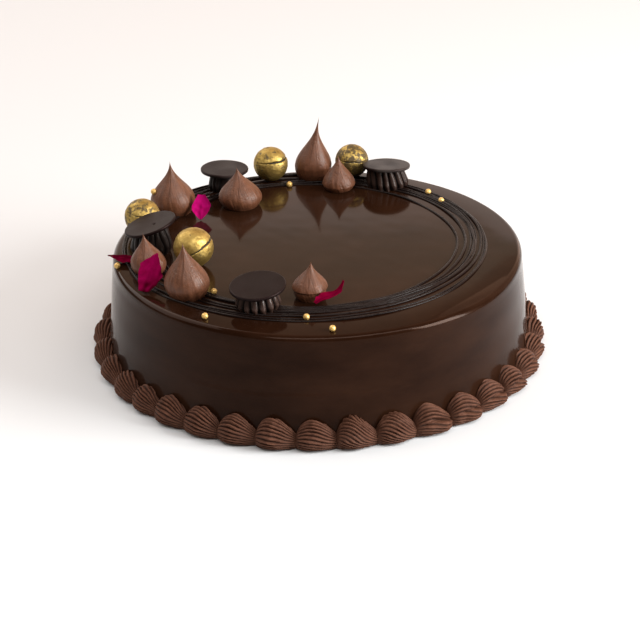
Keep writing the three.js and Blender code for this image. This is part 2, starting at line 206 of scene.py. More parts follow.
# Piped drops. The places and sizes are those of the solids. The fold is the depth of the crease that the
# nozzle left at an angle, and a skirt draws the foot in under a brim at a share of the height. The swirl
# of the streaks, and the sway, edge and fade of the crease, are in radians.
DROP_FOOT = 0.8
DROP_ROWS = 120
DROP_COLUMNS = 180
DROP_ROW_CROWDING = 0.05
DROP_TIP = {"extra": 0.35, "from": (0.5, 0.9), "power": 12, "smallest": 0.05}
DROP_STREAKS = {"swirl": 0.5, "stretch": 0.35, "depth": 0.22, "contrast": 0.3}
DROP_BRIM = (-0.03, 0.02)
DROP_CREASE = {
    "sway": 0.12, "sways": 5, "edge": 0.07, "fade": 0.3,
    "from": (0.06, 0.3), "full_radius": 5.0, "hollow": 0.4,
}
DROP_PITS = {"count": 26, "depth": 0.25, "radius": 0.38, "between": (0.1, 0.75)}
DROPS = (
    {"lean": -1.0, "bulge": 0.22, "taper": 1.12, "crease": -92, "fold": 0.45, "brim": 0.1, "skirt": 0.0},
    {"lean": -1.7, "bulge": 0.22, "taper": 0.98, "crease": -86, "fold": 0.45, "brim": 0.1, "skirt": 0.0},
    {"lean": 4.4, "bulge": 0.18, "taper": 1.4, "crease": -100, "fold": 0.2, "brim": 0.2, "skirt": 0.02},
    {"lean": -0.1, "bulge": 0.14, "taper": 0.95, "crease": -92, "fold": 0.25, "brim": 0.14, "skirt": 0.05},
    {"lean": -2.4, "bulge": 0.22, "taper": 1.02, "crease": -96, "fold": 0.45, "brim": 0.1, "skirt": 0.0},
    {"lean": -1.6, "bulge": 0.22, "taper": 1.0, "crease": -94, "fold": 0.6, "brim": 0.1, "skirt": 0.0},
    {"lean": 0.9, "bulge": 0.24, "taper": 1.05, "crease": -90, "fold": 0.3, "brim": 0.28, "skirt": 0.09},
)

# Gold-leafed balls: tilts of the seam between the two half shells to the right and the front, the seam's
# height over the middle, how far the leaf is worn, where the seam gapes, and how far it is open there and
# opposite
BALL_ROWS = 110
BALL_COLUMNS = 144
LEAF_INSET = 0.1
SEAM = {"widths": (0.4, 0.7), "gaps": (-0.6, 0.9), "shut": (0.05, 0.3), "depth": 0.9, "bare": (0.25, 0.7)}
BALLS = (
    {"tilts": (6.0, 4.0), "seam": 3.4, "wear": 0.37, "gape": -60.0, "open": 0.55, "closed": 0.2},
    {"tilts": (-29.0, 4.0), "seam": -0.5, "wear": 0.04, "gape": -20.0, "open": 1.5, "closed": 0.0},
    {"tilts": (-5.0, 3.0), "seam": 3.6, "wear": 0.28, "gape": -35.0, "open": 1.3, "closed": 0.0},
    {"tilts": (3.0, 4.0), "seam": 2.0, "wear": 0.57, "gape": -90.0, "open": 0.6, "closed": 0.2},
)

# Discs. The second has a small pit to the right of its middle, darkened by painted shade. A pale, cloudy
# painted sheen stands in for the reflection that lightens the back discs.
DISC_THICKNESS = 2.0
DISC_EDGE = 0.7
DISC_FLAT_MARGIN = 0.4
DISC_INNERMOST = {"under": 1.0, "over": 0.4}
DISC_ROWS = {"under": 8, "edge": 13, "over": 56}
DISC_COLUMNS = 120
DISC_SETTLE = 0.05
# Painted sheen by disc, standing in for reflection: strongest on the two back discs.
DISC_PAINTED_SHEEN = (0.35, 0.0, 0.06, 0.8)
DISC_CLOUDS = (-1.2, 1.0)
# Over the pit's dark range, painted shade blackens the pit.
DISC_PIT = {"disc": 1, "place": (3.1, -3.2), "radius": 0.75, "depth": 0.9, "dark": (0.2, 0.6)}

# Rosettes. The ribs bend and stray from their even places, in radians, and carry a painted highlight of
# paler brown on their crests. The neck is a share of the width, reached by a power of the height. The fourth
# rosette spreads and leans to the left under its disc.
ROSETTE_TUCK = {"share": 0.86, "heights": (-0.1, 0.3)}
ROSETTE_RIBS = {
    "stretch": 0.8, "bend": 0.1, "points": (0.9, 0.42), "taper": 0.4, "middle": 0.75, "pale": (0.45, 0.95),
}
ROSETTE_BITE = 0.1
ROSETTE_WIDEST = 1.053
ROSETTE_ROWS = 56
ROSETTE_COLUMNS = 264
ROSETTES = (
    {"ribs": 13, "depth": 0.12, "stray": 0.16, "neck": 0.7, "power": 1.7, "painted_highlight": 0.15},
    {"ribs": 13, "depth": 0.16, "stray": 0.2, "neck": 0.7, "power": 1.7, "painted_highlight": 0.2},
    {"ribs": 15, "depth": 0.22, "stray": 0.02, "neck": 0.7, "power": 1.7, "painted_highlight": 1.0},
    {"ribs": 16, "depth": 0.22, "stray": 0.05, "neck": 0.76, "power": 0.8, "painted_highlight": 0.7},
)
SPREAD_ROSETTE = {"rosette": 3, "aside": 3.2, "scale": 1.36, "lean": 1.8}

# Petals: the two ends of the midrib, with their height over the glaze, and the form across it. The left
# and the right side are broadest at their own share of the midrib, the tone goes from magenta to crimson,
# and painted shade deepens it towards the right, towards the tip and all over.
PETAL_THICKNESS = 0.5
PETAL_ROWS = 60
PETAL_COLUMNS = 28
# Painted shade along a band beside the midrib and at the foot, fading towards the tip.
PETAL_FOLD_SHADE = {"depth": 0.5, "place": 0.15, "width": 0.25, "foot": 0.25, "fading": 0.5}
PETALS = (
    {"foot": (-72.1, 41.3, 0.6), "tip": (-71.5, 50.7, 13.4), "width": 12.2, "broadest": (0.52, 0.62),
     "foot_share": 0.12, "tip_share": 0.36, "arch": -1.5, "skew": 1.0, "curl": 2.2,
     "tone": 0.15, "shade": (0.0, 0.0, 0.0)},
    {"foot": (-105.4, -22.8, 3.2), "tip": (-124.8, -15.8, 3.1), "width": 10.0, "broadest": (0.5, 0.6),
     "foot_share": 0.6, "tip_share": 0.08, "arch": 0.4, "skew": 1.0, "curl": -1.2,
     "tone": 1.0, "shade": (0.3, 1.0, 0.75)},
    {"foot": (-99.9, -63.3, 0.9), "tip": (-92.3, -48.9, 18.7), "width": 16.6, "broadest": (0.66, 0.46),
     "foot_share": 0.4, "tip_share": 0.06, "arch": -2.0, "skew": 1.0, "curl": 2.6,
     "tone": 0.75, "shade": (0.5, -0.9, 0.05)},
    {"foot": (-1.6, -88.1, 3.4), "tip": (14.7, -80.2, 13.5), "width": 8.6, "broadest": (0.4, 0.4),
     "foot_share": 0.35, "tip_share": 0.22, "arch": -4.0, "skew": 1.8, "curl": 1.8,
     "tone": 1.0, "shade": (0.0, 0.3, 0.0)},
)


def node_corners(node):
    """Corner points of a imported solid."""
    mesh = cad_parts[node].data
    flat = np.empty(len(mesh.vertices) * 3)
    mesh.vertices.foreach_get("co", flat)
    return flat.reshape(-1, 3) / MM


def node_box(node):
    """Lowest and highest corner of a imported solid."""
    low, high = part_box(node)
    return np.array(low) / MM, np.array(high) / MM


TOP_Z = node_box("drop_2")[0][2]
FOOT_RADIUS = node_box("cake_body")[1][1]


# Curves and reliefs


def scatter(index, start):
    """Evenly scattered values from -1 to 1, one for each whole number."""
    return 2 * ((index * GOLDEN + start) % 1) - 1


def lerp(start, end, share):
    """The value a share of the way from start to end."""
    return start + (end - start) * share


def smooth_step(low, high, value):
    """0 below low, 1 above high, and a smooth rise between them."""
    share = np.clip((value - low) / (high - low), 0, 1)
    return share * share * (3 - 2 * share)


def hump(value, centre, width):
    """A bell curve: 1 at the centre, falling to nothing a few widths away."""
    return np.exp(-(((value - centre) / width) ** 2))


def half_turn(angle):
    """An angle in radians, brought to between minus and plus half a turn."""
    return (angle + math.pi) % TURN - math.pi


def relief(kind, points, index=0):
    """Smooth random relief at points, mostly within its height: a sum of plane waves in random
    directions, each about one wavelength long and with a random phase. Each index has its own."""
    height, wavelength, seed = RELIEFS[kind]
    draw = np.random.default_rng(seed + index)
    directions = draw.normal(size=(RELIEF_WAVES, points.shape[-1]))
    directions /= np.linalg.norm(directions, axis=1, keepdims=True)
    lengths = wavelength * draw.uniform(*RELIEF_LENGTHS, RELIEF_WAVES)
    phases = draw.uniform(0, TURN, RELIEF_WAVES)
    angles = TURN * (points @ directions.T) / lengths + phases
    return height * np.cos(angles).sum(axis=-1) / math.sqrt(RELIEF_WAVES)


def wall_radius(z):
    """Radius of the drum's wall, which flares evenly from the rim down to the foot."""
    return lerp(FOOT_RADIUS, RIM_RADIUS, z / (TOP_Z - RIM_ROUND))


def rim_fall(distance):
    """How far the top has fallen at a distance from the middle: by the square of the way to the rim."""
    span = RIM_RADIUS - RIM_ROUND - RIM_FALL["from"]
    return RIM_FALL["depth"] * np.clip((distance - RIM_FALL["from"]) / span, 0, 1) ** 2


def surface_height(distance):
    """Height of the glaze at a distance from the middle: flat, then falling to the quarter round of the
    rim."""
    past = np.clip(distance - (RIM_RADIUS - RIM_ROUND), 0, RIM_ROUND)
    return TOP_Z - RIM_ROUND + np.sqrt(RIM_ROUND**2 - past**2) - rim_fall(distance)


# Meshes


def on_circle(radius, angle, z):
    """Points at a radius, an angle in radians and a height about +Z."""
    radius, angle, z = np.broadcast_arrays(radius, angle, z)
    return np.stack([radius * np.cos(angle), radius * np.sin(angle), z], axis=-1)


def tube(rings, looped=False):
    """Corners, four-sided faces and end fans of a grid of rings, shaped [rings, corners, 3]. Looped rings
    join the last ring to the first. Others end in a fan of triangles to the middle of the end ring. The
    faces are turned over if they enclose a negative volume, so that they point outwards."""
    rows, columns = rings.shape[:2]
    here = np.arange(rows * columns).reshape(rows, columns)
    beside = np.roll(here, -1, axis=1)
    above, above_beside = np.roll(here, -1, axis=0), np.roll(beside, -1, axis=0)
    grid = np.stack([here, beside, above_beside, above], axis=-1)
    corners = rings.reshape(-1, 3)
    fans = np.empty((0, 3), int)
    if not looped:
        grid = grid[:-1]
        ends = rings[[0, -1]].mean(axis=1)
        first = np.full(columns, len(corners))
        fans = np.concatenate([
            np.stack([beside[0], here[0], first], axis=-1),
            np.stack([here[-1], beside[-1], first + 1], axis=-1),
        ])
        corners = np.concatenate([corners, ends])
    quads = grid.reshape(-1, 4)
    triangles = np.concatenate([quads[:, [0, 1, 2]], quads[:, [0, 2, 3]], fans])
    a, b, c = (corners[triangles[:, i]] for i in range(3))
    if np.einsum("ij,ij->", a - corners[0], np.cross(b - corners[0], c - corners[0])) < 0:
        quads, fans = quads[:, ::-1], fans[:, ::-1]
    return corners, quads, fans


def per_corner(values):
    """A value for each corner of a tube: those of its grid, then the means of its two end rings."""
    return np.concatenate([values.reshape(-1), values[[0, -1]].mean(axis=1)])


def make_piece(name, parts, material, slot, replaced, **marks):
    """A smooth mesh object from tubes, with named values on its corners. It rides on the cake, takes the
    given material as its finish and stands for the replaced nodes. The slot is not used."""
    starts = np.cumsum([0] + [len(corners) for corners, _, _ in parts])
    corners = np.concatenate([part[0] for part in parts])
    faces = []
    for start, (_, quads, fans) in zip(starts, parts):
        faces += (quads + start).tolist()
        faces += (fans + start).tolist()
    mesh = bpy.data.meshes.new(name)
    mesh.from_pydata((corners * MM).tolist(), [], faces)
    mesh.shade_smooth()
    for mark, values in marks.items():
        mesh.attributes.new(mark, "FLOAT", "POINT").data.foreach_set("value", values)
    mesh.materials.append(material)
    piece = bpy.data.objects.new(name, mesh)
    bpy.context.scene.collection.objects.link(piece)
    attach(piece, "root")
    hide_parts(*replaced)


# Node helpers


def new_material(name, **constants):
    """A material, its node tree and its Principled shader, whose constant sockets are set by name."""
    material = bpy.data.materials.new(name)
    material.use_nodes = True
    shader = material.node_tree.nodes["Principled BSDF"]
    for socket, value in constants.items():
        shader.inputs[socket.replace("_", " ")].default_value = value
    return material, material.node_tree, shader


def link_shader(tree, shader, **sources):
    """Links sockets of a shader, by name, to the sockets that set them."""
    for socket, source in sources.items():
        tree.links.new(source, shader.inputs[socket.replace("_", " ")])


def add_node(tree, kind, values=None, **settings):
    """A node of a kind, with its settings and its socket values. Where a value is a socket, it is linked."""
    node = tree.nodes.new(kind)
    for setting, value in settings.items():
        setattr(node, setting, value)
    for socket, value in (values or {}).items():
        if isinstance(value, bpy.types.NodeSocket):
            tree.links.new(value, node.inputs[socket])
        else:
            node.inputs[socket].default_value = value
    return node


def add_ramp(tree, value, low, high, start=0.0, end=1.0):
    """A value mapped from the range between start and end to the range between low and high."""
    ranges = {"Value": value, "From Min": start, "From Max": end, "To Min": low, "To Max": high}
    return add_node(tree, "ShaderNodeMapRange", ranges).outputs["Result"]


def add_math(tree, operation, first, second):
    """Two values joined by an operation."""
    return add_node(tree, "ShaderNodeMath", {0: first, 1: second}, operation=operation).outputs["Value"]


def add_mix(tree, factor, first, second, blend_type="MIX"):
    """The first colour mixed with the second, or multiplied by it, as far as a factor says."""
    values = {"Factor": factor, "A": first, "B": second}
    return add_node(tree, "ShaderNodeMix", values, data_type="RGBA", blend_type=blend_type).outputs["Result"]


def add_mark(tree, mark):
    """The value that a piece has under a name on its corners."""
    return add_node(tree, "ShaderNodeAttribute", attribute_name=mark).outputs["Fac"]


def add_noise(tree, place, scale, detail, roughness):
    """Noise at a place, from 0 to 1."""
    values = {"Vector": place, "Scale": scale, "Detail": detail, "Roughness": roughness}
    return add_node(tree, "ShaderNodeTexNoise", values).outputs["Fac"]


def new_group(name, inputs, outputs):
    """An empty node group with named inputs and outputs, and its input and output nodes."""
    group = bpy.data.node_groups.new(name, "ShaderNodeTree")
    for socket, kind in inputs.items():
        group.interface.new_socket(socket, in_out="INPUT", socket_type=kind)
    for socket, kind in outputs.items():
        group.interface.new_socket(socket, in_out="OUTPUT", socket_type=kind)
    return group, group.nodes.new("NodeGroupInput").outputs, group.nodes.new("NodeGroupOutput").inputs


def cloudy_tone_group():
    """A cloudy mix of two colours: noise on Object coordinates blends from dark to light."""
    group, given, put_out = new_group(
        "cloudy_tone",
        {"Scale": "NodeSocketFloat", "Dark": "NodeSocketColor", "Light": "NodeSocketColor"},
        {"Colour": "NodeSocketColor", "Mask": "NodeSocketFloat"},
    )
    place = add_node(group, "ShaderNodeTexCoord").outputs["Object"]
    noise = add_noise(group, place, given["Scale"], detail=5.0, roughness=0.6)
    mask = add_ramp(group, noise, 0.0, 1.0, start=0.3, end=0.7)
    group.links.new(add_mix(group, mask, given["Dark"], given["Light"]), put_out["Colour"])
    group.links.new(mask, put_out["Mask"])
    return group


def fine_grain_group():
    """Fine relief: noise on Object coordinates raises the surface by up to a height in metres."""
    group, given, put_out = new_group(
        "fine_grain",
        {"Scale": "NodeSocketFloat", "Height": "NodeSocketFloat"},
        {"Normal": "NodeSocketVector"},
    )
    place = add_node(group, "ShaderNodeTexCoord").outputs["Object"]
    noise = add_noise(group, place, given["Scale"], detail=4.0, roughness=0.55)
    raised = {"Height": noise, "Distance": given["Height"], "Strength": 1.0}
    group.links.new(add_node(group, "ShaderNodeBump", raised).outputs["Normal"], put_out["Normal"])
    return group


CLOUDY_TONE = cloudy_tone_group()
FINE_GRAIN = fine_grain_group()


def add_tone(tree, scale, dark, light):
    """The cloudy tone group, placed in a material: its colour and its mask."""
    values = {"Scale": scale, "Dark": (*dark, 1), "Light": (*light, 1)}
    node = add_node(tree, "ShaderNodeGroup", values, node_tree=CLOUDY_TONE)
    return node.outputs["Colour"], node.outputs["Mask"]


def add_grain(tree, scale, height):
    """The fine grain group, placed in a material: its normal."""
    values = {"Scale": scale, "Height": height}
    return add_node(tree, "ShaderNodeGroup", values, node_tree=FINE_GRAIN).outputs["Normal"]


# Finishes


def glaze_finish():
    """Dark glaze: a deep brown with faint level smears, satin on the wall and a mirror on the rim and the
    top."""
    material, tree, shader = new_material(
        "dark_glaze", IOR=1.15, Specular_Tint=(1.0, 0.5, 0.3, 1),
        Coat_Weight=1.0, Coat_Roughness=0.1, Coat_IOR=1.12,
    )
    place = add_node(tree, "ShaderNodeTexCoord").outputs["Object"]
    level = add_node(tree, "ShaderNodeMapping", {"Vector": place, "Scale": (1.0, 1.0, 3.0)}).outputs["Vector"]
    smears = add_noise(tree, level, scale=16.0, detail=5.0, roughness=0.62)
    mask = add_ramp(tree, smears, 0.0, 1.0, start=0.32, end=0.7)
    tone = add_mix(tree, mask, (0.0085, 0.0028, 0.0012, 1), (0.0205, 0.0082, 0.0041, 1))
    height = add_node(tree, "ShaderNodeSeparateXYZ", {"Vector": place}).outputs["Z"]
    mirror_from, mirror_full = ((TOP_Z - below) * MM for below in MIRROR_BELOW_TOP)
    dull = add_ramp(tree, height, 0.48, 0.07, start=mirror_from, end=mirror_full)
    cloud = add_ramp(tree, mask, -0.02, 0.03)
    link_shader(tree, shader, Base_Color=tone, Roughness=add_math(tree, "ADD", dull, cloud))
    return material


def thread_finish():
    """Near-black satin chocolate."""
    material, tree, shader = new_material("thread_chocolate", IOR=1.22)
    tone, mask = add_tone(tree, 160.0, dark=(0.0060, 0.0036, 0.0033), light=(0.0120, 0.0074, 0.0068))
    link_shader(tree, shader, Base_Color=tone, Roughness=add_ramp(tree, mask, 0.24, 0.32))
    return material


def icing_finish():
    """Matte piped buttercream: brown with a fine grain, with painted shade darkening the grooves between
    ridges.
    """
    material, tree, shader = new_material("piped_icing", IOR=1.2)
    tone, mask = add_tone(tree, 260.0, dark=(0.075, 0.0312, 0.0190), light=(0.126, 0.0555, 0.0345))
    # Painted shade: the mark multiplies the colour, down to black in the grooves between ridges and at the
    # foot.
    colour = add_mix(tree, 1.0, tone, add_mark(tree, "ridge"), blend_type="MULTIPLY")
    rough = add_ramp(tree, mask, 0.5, 0.66)
    link_shader(tree, shader, Base_Color=colour, Roughness=rough, Normal=add_grain(tree, 900.0, 0.0003))
    return material


def drop_finish():
    """Satin milk chocolate cream: warm brown with paler and darker streaks drawn up to the tip."""
    material, tree, shader = new_material("drop_cream", IOR=1.38)
    tone, mask = add_tone(tree, 330.0, dark=(0.0825, 0.0318, 0.0152), light=(0.131, 0.0515, 0.0262))
    shade = add_ramp(tree, add_mark(tree, "streak"), 0.76, 1.2)
    colour = add_mix(tree, 1.0, tone, shade, blend_type="MULTIPLY")
    rough = add_ramp(tree, mask, 0.36, 0.48)
    link_shader(tree, shader, Base_Color=colour, Roughness=rough, Normal=add_grain(tree, 1100.0, 0.0002))
    return material


def gold_leaf_finish():
    """Gold leaf over dark chocolate: bare chocolate in mottles, where the ball's wear is more than a cloudy
    mask, and in the seam, where painted shade turns it near-black."""
    material, tree, shader = new_material("gold_leaf", IOR=1.45)
    leaf, mask = add_tone(tree, 230.0, dark=(0.265, 0.178, 0.047), light=(0.57, 0.42, 0.135))
    mottle = add_tone(tree, 330.0, dark=(0.0, 0.0, 0.0), light=(1.0, 1.0, 1.0))[1]
    seam = add_mark(tree, "seam")
    margin = add_math(tree, "SUBTRACT", add_mark(tree, "wear"), mottle)
    bare = add_math(tree, "MAXIMUM", seam, add_ramp(tree, margin, 0.0, 0.85, start=-0.12, end=0.1))
    worn = add_mix(tree, bare, leaf, (0.020, 0.0105, 0.0032, 1))
    # Painted shade: the seam's bare chocolate is darkened to near-black.
    colour = add_mix(tree, seam, worn, (0.0012, 0.0006, 0.0002, 1))
    link_shader(
        tree, shader,
        Base_Color=colour,
        Metallic=add_ramp(tree, bare, 1.0, 0.0),
        Roughness=add_ramp(tree, mask, 0.6, 0.48),
        Normal=add_grain(tree, 620.0, 0.00018),
    )
    return material


def pearl_finish():
    """Gold lustre on a sugar pearl."""
    material, tree, shader = new_material("pearl_lustre", Metallic=0.35, IOR=1.5)
    tone, mask = add_tone(tree, 700.0, dark=(0.56, 0.36, 0.105), light=(0.74, 0.5, 0.17))
    rough = add_ramp(tree, mask, 0.36, 0.26)
    link_shader(tree, shader, Base_Color=tone, Roughness=rough, Normal=add_grain(tree, 1500.0, 0.00008))
    return material


def disc_finish():
    """Satin dark chocolate, lightened by a painted sheen of reflection and nearly black with painted shade in
    a pit.
    """
    material, tree, shader = new_material("disc_chocolate", IOR=1.22, Specular_Tint=(1.0, 0.66, 0.64, 1))
    tone, mask = add_tone(tree, 110.0, dark=(0.0042, 0.0022, 0.0022), light=(0.0072, 0.0040, 0.0041))
    sheened = add_mix(tree, add_mark(tree, "painted_sheen"), tone, (0.040, 0.034, 0.032, 1))
    colour = add_mix(tree, add_mark(tree, "pit"), sheened, (0.0015, 0.001, 0.001, 1))
    rough = add_ramp(tree, mask, 0.34, 0.44)
    link_shader(tree, shader, Base_Color=colour, Roughness=rough, Normal=add_grain(tree, 600.0, 0.00006))
    return material


def rosette_finish():
    """Glossy ganache, nearly black, with a painted highlight of paler brown on the rib crests."""
    material, tree, shader = new_material("rosette_ganache", IOR=1.28)
    tone, _ = add_tone(tree, 240.0, dark=(0.025, 0.0140, 0.0110), light=(0.056, 0.0335, 0.0270))
    crest = add_mark(tree, "crest")
    # Painted highlight: paler brown on the rib crests, over near-black ganache in the grooves.
    colour = add_mix(tree, crest, (0.0035, 0.002, 0.0017, 1), tone)
    rough = add_ramp(tree, crest, 0.5, 0.3)
    link_shader(tree, shader, Base_Color=colour, Roughness=rough, Normal=add_grain(tree, 500.0, 0.00015))
    return material


def petal_finish():
    """Velvety petal: magenta to crimson by its tone, deepened to dark red by painted shade along a fold and
    at the foot.
    """
    material, tree, shader = new_material("petal_velvet", IOR=1.03, Roughness=0.7)
    magenta, _ = add_tone(tree, 260.0, dark=(0.32, 0.0026, 0.096), light=(0.42, 0.0046, 0.148))
    crimson, _ = add_tone(tree, 260.0, dark=(0.115, 0.0006, 0.013), light=(0.175, 0.001, 0.028))
    colour = add_mix(tree, add_mark(tree, "tone"), magenta, crimson)
    folded = add_mix(tree, add_mark(tree, "depth"), colour, (0.045, 0.0, 0.006, 1))
    link_shader(tree, shader, Base_Color=folded, Normal=add_grain(tree, 800.0, 0.0001))
    return material


# Pieces


def drum_profile():
    """Radii and heights along the drum's profile, as columns: from the middle of the flat underside out
    to the foot, up the flaring wall, round the rim by a quarter circle, and over the top back to the
    middle."""
    underside = [(radius, 0) for radius in UNDERSIDE_RADII]
    underside += [(FOOT_RADIUS - inset, height) for inset, height in FOOT_EDGE]
    wall_z = np.linspace(WALL_FOOT, TOP_Z - RIM_ROUND - RIM_FALL["depth"], DRUM_WALL_ROWS)
    wall = np.stack([wall_radius(wall_z), wall_z], axis=-1)
    turn = np.linspace(0, math.pi / 2, DRUM_RIM_ROWS + 1)[1:]
    rim_radius = RIM_RADIUS - RIM_ROUND + RIM_ROUND * np.cos(turn)
    top_radius = np.linspace(RIM_RADIUS - RIM_ROUND, 0, DRUM_TOP_ROWS + 1)[1:-1]
    over = np.concatenate([rim_radius, top_radius])
    top = np.stack([over, surface_height(over)], axis=-1)
    profile = np.concatenate([underside, wall, top])
    return profile[:, :1], profile[:, 1:]


def glazed_drum(material):
    """The glazed drum: its profile turned about +Z. On the wall, long low runs and one pooling line, a
    smooth step that wanders by two sine waves, thicken the glaze a little. At the right front the rim
    slumps by the square of the way out, and the top ripples by less than a hundredth of a millimetre."""
    radius, z = drum_profile()
    angle = np.linspace(-math.pi, math.pi, DRUM_COLUMNS, endpoint=False)
    degrees = np.degrees(angle)
    fade, softness, wander = POOLING["fade"], POOLING["softness"], POOLING["wander"]
    within = smooth_step(POOLING["from"], POOLING["from"] + fade, degrees)
    within = within * (1 - smooth_step(POOLING["to"] - fade, POOLING["to"], degrees))
    line = POOLING["height"] + wander[0] * np.sin(3 * angle) + wander[1] * np.sin(8 * angle + 1)
    lip = 1 - smooth_step(-softness, softness, z - line)
    stretched = on_circle(FOOT_RADIUS / GLAZE_RUNS["length"], angle, z / GLAZE_RUNS["height"])
    runs = relief("glaze_runs", stretched)
    on_wall = smooth_step(*GLAZE_RUNS["above_foot"], z)
    on_wall = on_wall * (1 - smooth_step(TOP_Z - GLAZE_RUNS["below_top"], TOP_Z - RIM_ROUND, z))
    rings = on_circle(radius + on_wall * (POOLING["depth"] * lip * within + runs), angle, z)
    outside = np.clip((radius - RIM_SLUMP["from"]) / (RIM_RADIUS - RIM_SLUMP["from"]), 0, 1) ** 2
    high = smooth_step(*(TOP_Z - np.array(RIM_SLUMP["below_top"])), z)
    slump = outside * high * hump(degrees, RIM_SLUMP["azimuth"], RIM_SLUMP["width"])
    rings[..., 2] -= RIM_SLUMP["depth"] * slump
    on_top = smooth_step(TOP_Z - TOP_RIPPLE["below_top"], TOP_Z, z)
    on_top = on_top * smooth_step(*TOP_RIPPLE["from_middle"], radius)
    rings[..., 2] += on_top * relief("top_ripple", rings[..., :2])
    make_piece("glazed_drum", [tube(rings)], material, "glaze", ["cake_body"])


def thread_radius(thread, angle):
    """Radius of one thread about the ring's centre: its own share of the band, a drift to one side and a
    ripple, with the whole band pinched at the right."""
    share = THREAD_SPREAD * scatter(thread, THREAD_SCATTER)
    drift = THREAD_DRIFT * np.cos(angle - TURN * GOLDEN * thread)
    ripple = THREAD_RIPPLE * np.cos(2 * angle - TURN * GOLDEN**2 * thread * 2)
    pinch = 1 - RING_PINCH["depth"] * np.maximum(0, np.cos(angle)) ** RING_PINCH["power"]
    return RING_RADIUS + pinch * (share + drift + ripple)


def thread_tube(thread):
    """One thread: an ellipse carried along a closed path that lies on the glaze. The path follows the
    thread's radius with a small wobble, and the ellipse swells and thins along it."""
    angle = np.linspace(0, TURN, THREAD_STATIONS, endpoint=False)
    loop = np.stack([np.cos(angle), np.sin(angle)], axis=-1)
    radius = thread_radius(thread, angle) + relief("thread_wobble", loop, thread)
    x = RING_CENTRE[0] + radius * np.cos(angle)
    y = RING_CENTRE[1] + radius * np.sin(angle)
    kind = 0 if thread < STOUT_THREADS else 1
    swell = 1 + relief("thread_swell", loop, thread)
    half_width = THREAD_WIDTHS[kind] / 2 * swell
    half_height = THREAD_HEIGHTS[kind] / 2 * swell
    lift = THREAD_LIFT + relief("thread_lift", loop, thread)
    z = surface_height(np.hypot(x, y)) + half_height * lift
    path = np.stack([x, y, z], axis=-1)
    along = np.roll(path, -1, axis=0) - np.roll(path, 1, axis=0)
    side = np.stack([along[:, 1], -along[:, 0], 0 * x], axis=-1)
    side /= np.linalg.norm(side, axis=1, keepdims=True)
    turn = np.linspace(0, TURN, THREAD_SIDES, endpoint=False)
    across = (half_width[:, None] * np.cos(turn))[..., None] * side[:, None]
    upward = (half_height[:, None] * np.sin(turn))[..., None] * np.array([0, 0, 1])
    return tube(path[:, None] + across + upward, looped=True)


def chocolate_threads(material):
    """The ring of threads: the stout ones and a few finer ones between them."""
    parts = [thread_tube(thread) for thread in range(THREADS)]
    make_piece("chocolate_threads", parts, material, "glaze", ["cake_body"])


def ball_rings(centre, radius, rows, columns):
    """Rings of a sphere from its lowest to its highest, and the outward direction at each corner."""
    rise = np.linspace(-math.pi / 2, math.pi / 2, rows + 2)[1:-1, None]
    angle = np.linspace(0, TURN, columns, endpoint=False)
    outward = on_circle(np.cos(rise), angle, np.sin(rise))
    return np.asarray(centre) + radius * outward, outward


def pearl_tube(x, y, z, seed):
    """A sugar pearl: a sphere with a slightly uneven skin."""
    rings, outward = ball_rings((x, y, z), PEARL_RADIUS, PEARL_ROWS, PEARL_COLUMNS)
    return tube(rings + outward * relief("pearl_skin", outward, seed)[..., None])


def sugar_pearls(material):
    """The pearls that lie on the glaze, each sunk in it a little."""
    parts = [
        pearl_tube(x, y, surface_height(math.hypot(x, y)) + PEARL_RADIUS - PEARL_SINK, seed)
        for seed, (x, y) in enumerate(PEARLS)
    ]
    make_piece("sugar_pearls", parts, material, "gold", ["cake_body"])


def shell_span(node):
    """Angles about +Z at the start, the middle and the end of a shell, from the corners of its solid. Its
    ends reach a little over its neighbours."""
    solid = node_corners(node)
    middle = math.atan2(solid[:, 1].mean(), solid[:, 0].mean())
    spread = half_turn(np.arctan2(solid[:, 1], solid[:, 0]) - middle)
    before, after = (math.radians(overlap) for overlap in SHELL_OVERLAP)
    return middle + spread.min() - before, middle, middle + spread.max() + after


def shell_fullness(along, crown, power):
    """Fullness of a shell along its length, 0 to 1: a round head, a superellipse, up to the crown, then a
    long fall to the tail."""
    head = np.clip(along / crown, 0, 1)
    dome = (1 - (1 - head) ** SHELL_BLUNTNESS) ** (1 / SHELL_BLUNTNESS)
    tail = np.clip((along - crown) / (1 - crown), 0, 1)
    return dome * (1 - SHELL_FALL * tail**power)


def shell_ridges(index, draw, turn, along, upper):
    """Ridges of a shell: how near each place is to a crest, 0 to 1, and their height as a share of the
    shell. They are a folded cosine of the turn about the axis, which twists towards the head. Under the
    parting of a lobed shell they are shifted, and over the crown of a toothed one they stand out."""
    loose = np.stack(np.broadcast_arrays(turn * SHELL_SWAY_SCALES[0], along * SHELL_SWAY_SCALES[1]), axis=-1)
    twist = math.radians(TOOTHED_SHELLS.get(index, draw.uniform(*SHELL_TWISTS)))
    wave = SHELL_RIDGES["count"] * math.pi / math.radians(SHELL_ARC[1] - SHELL_ARC[0])
    shift = LOBED_SHELLS["ridge_shift"] * (1 - upper)
    phase = draw.uniform(0, math.pi) + shift + relief("shell_sway", loose, index)
    crest = np.abs(np.cos(wave * (turn - twist * (1 - along)) + phase)) ** SHELL_RIDGES["power"]
    strength = SHELL_RIDGES["depth"] * (1 + relief("shell_strength", loose, index))
    if index in TOOTHED_SHELLS:
        strength = strength * (1 + TEETH["growth"] * smooth_step(*np.radians(TEETH["turns"]), turn))
    return crest, strength


